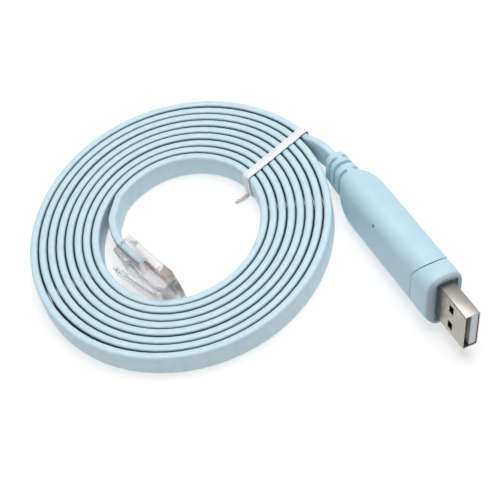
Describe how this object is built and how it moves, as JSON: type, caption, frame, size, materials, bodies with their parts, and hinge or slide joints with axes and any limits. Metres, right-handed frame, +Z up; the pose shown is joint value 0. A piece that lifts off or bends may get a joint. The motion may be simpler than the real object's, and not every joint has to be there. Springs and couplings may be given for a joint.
{
  "type": "rj45 console cable",
  "caption": "Light blue flat console cable wound on edge and tied, with a USB-A plug outside the coil and a clear modular plug inside it.",
  "frame": {"origin": "middle of the whole object's outline, on the floor it lies on", "axes": "+Z up, square to the coil's flat ends; +X along the longer side of the outline, from the coil towards the USB plug's side; +Y from the USB plug's tip towards the rear of its grip"},
  "size_m": [0.1126, 0.1088, 0.0187],
  "materials": {
    "cable_jacket": "satin, light blue",
    "moulding": "fine matte, light blue",
    "plated_steel": "satin nickel plating",
    "white_plastic": "satin",
    "gold_contact": "polished gold plating",
    "clear_plastic": "clear moulded plastic",
    "tie_white": "coated wire ribbon",
    "wire_blue": "insulation",
    "wire_orange": "insulation",
    "wire_black": "insulation",
    "wire_red": "insulation",
    "wire_green": "insulation",
    "wire_yellow": "insulation",
    "wire_brown": "insulation",
    "wire_grey": "insulation"
  },
  "bodies": {
    "root": {"cable_coil": "cable_jacket", "cable_usb_lead": "cable_jacket", "cable_rj45_lead": "cable_jacket", "cable_rj45_end": "cable_jacket", "usb_grip": "moulding", "usb_collar": "moulding", "usb_shell": "plated_steel", "usb_tongue": "white_plastic", "usb_contact_1": "gold_contact", "usb_contact_2": "gold_contact", "usb_contact_3": "gold_contact", "usb_contact_4": "gold_contact", "rj45_body": "clear_plastic", "rj45_contact_1": "gold_contact", "rj45_contact_2": "gold_contact", "rj45_contact_3": "gold_contact", "rj45_contact_4": "gold_contact", "rj45_contact_5": "gold_contact", "rj45_contact_6": "gold_contact", "rj45_contact_7": "gold_contact", "rj45_contact_8": "gold_contact", "rj45_wire_1": "wire_blue", "rj45_wire_2": "wire_orange", "rj45_wire_3": "wire_black", "rj45_wire_4": "wire_red", "rj45_wire_5": "wire_green", "rj45_wire_6": "wire_yellow", "rj45_wire_7": "wire_brown", "rj45_wire_8": "wire_grey", "twist_tie": "tie_white"}
  },
  "joints": []
}
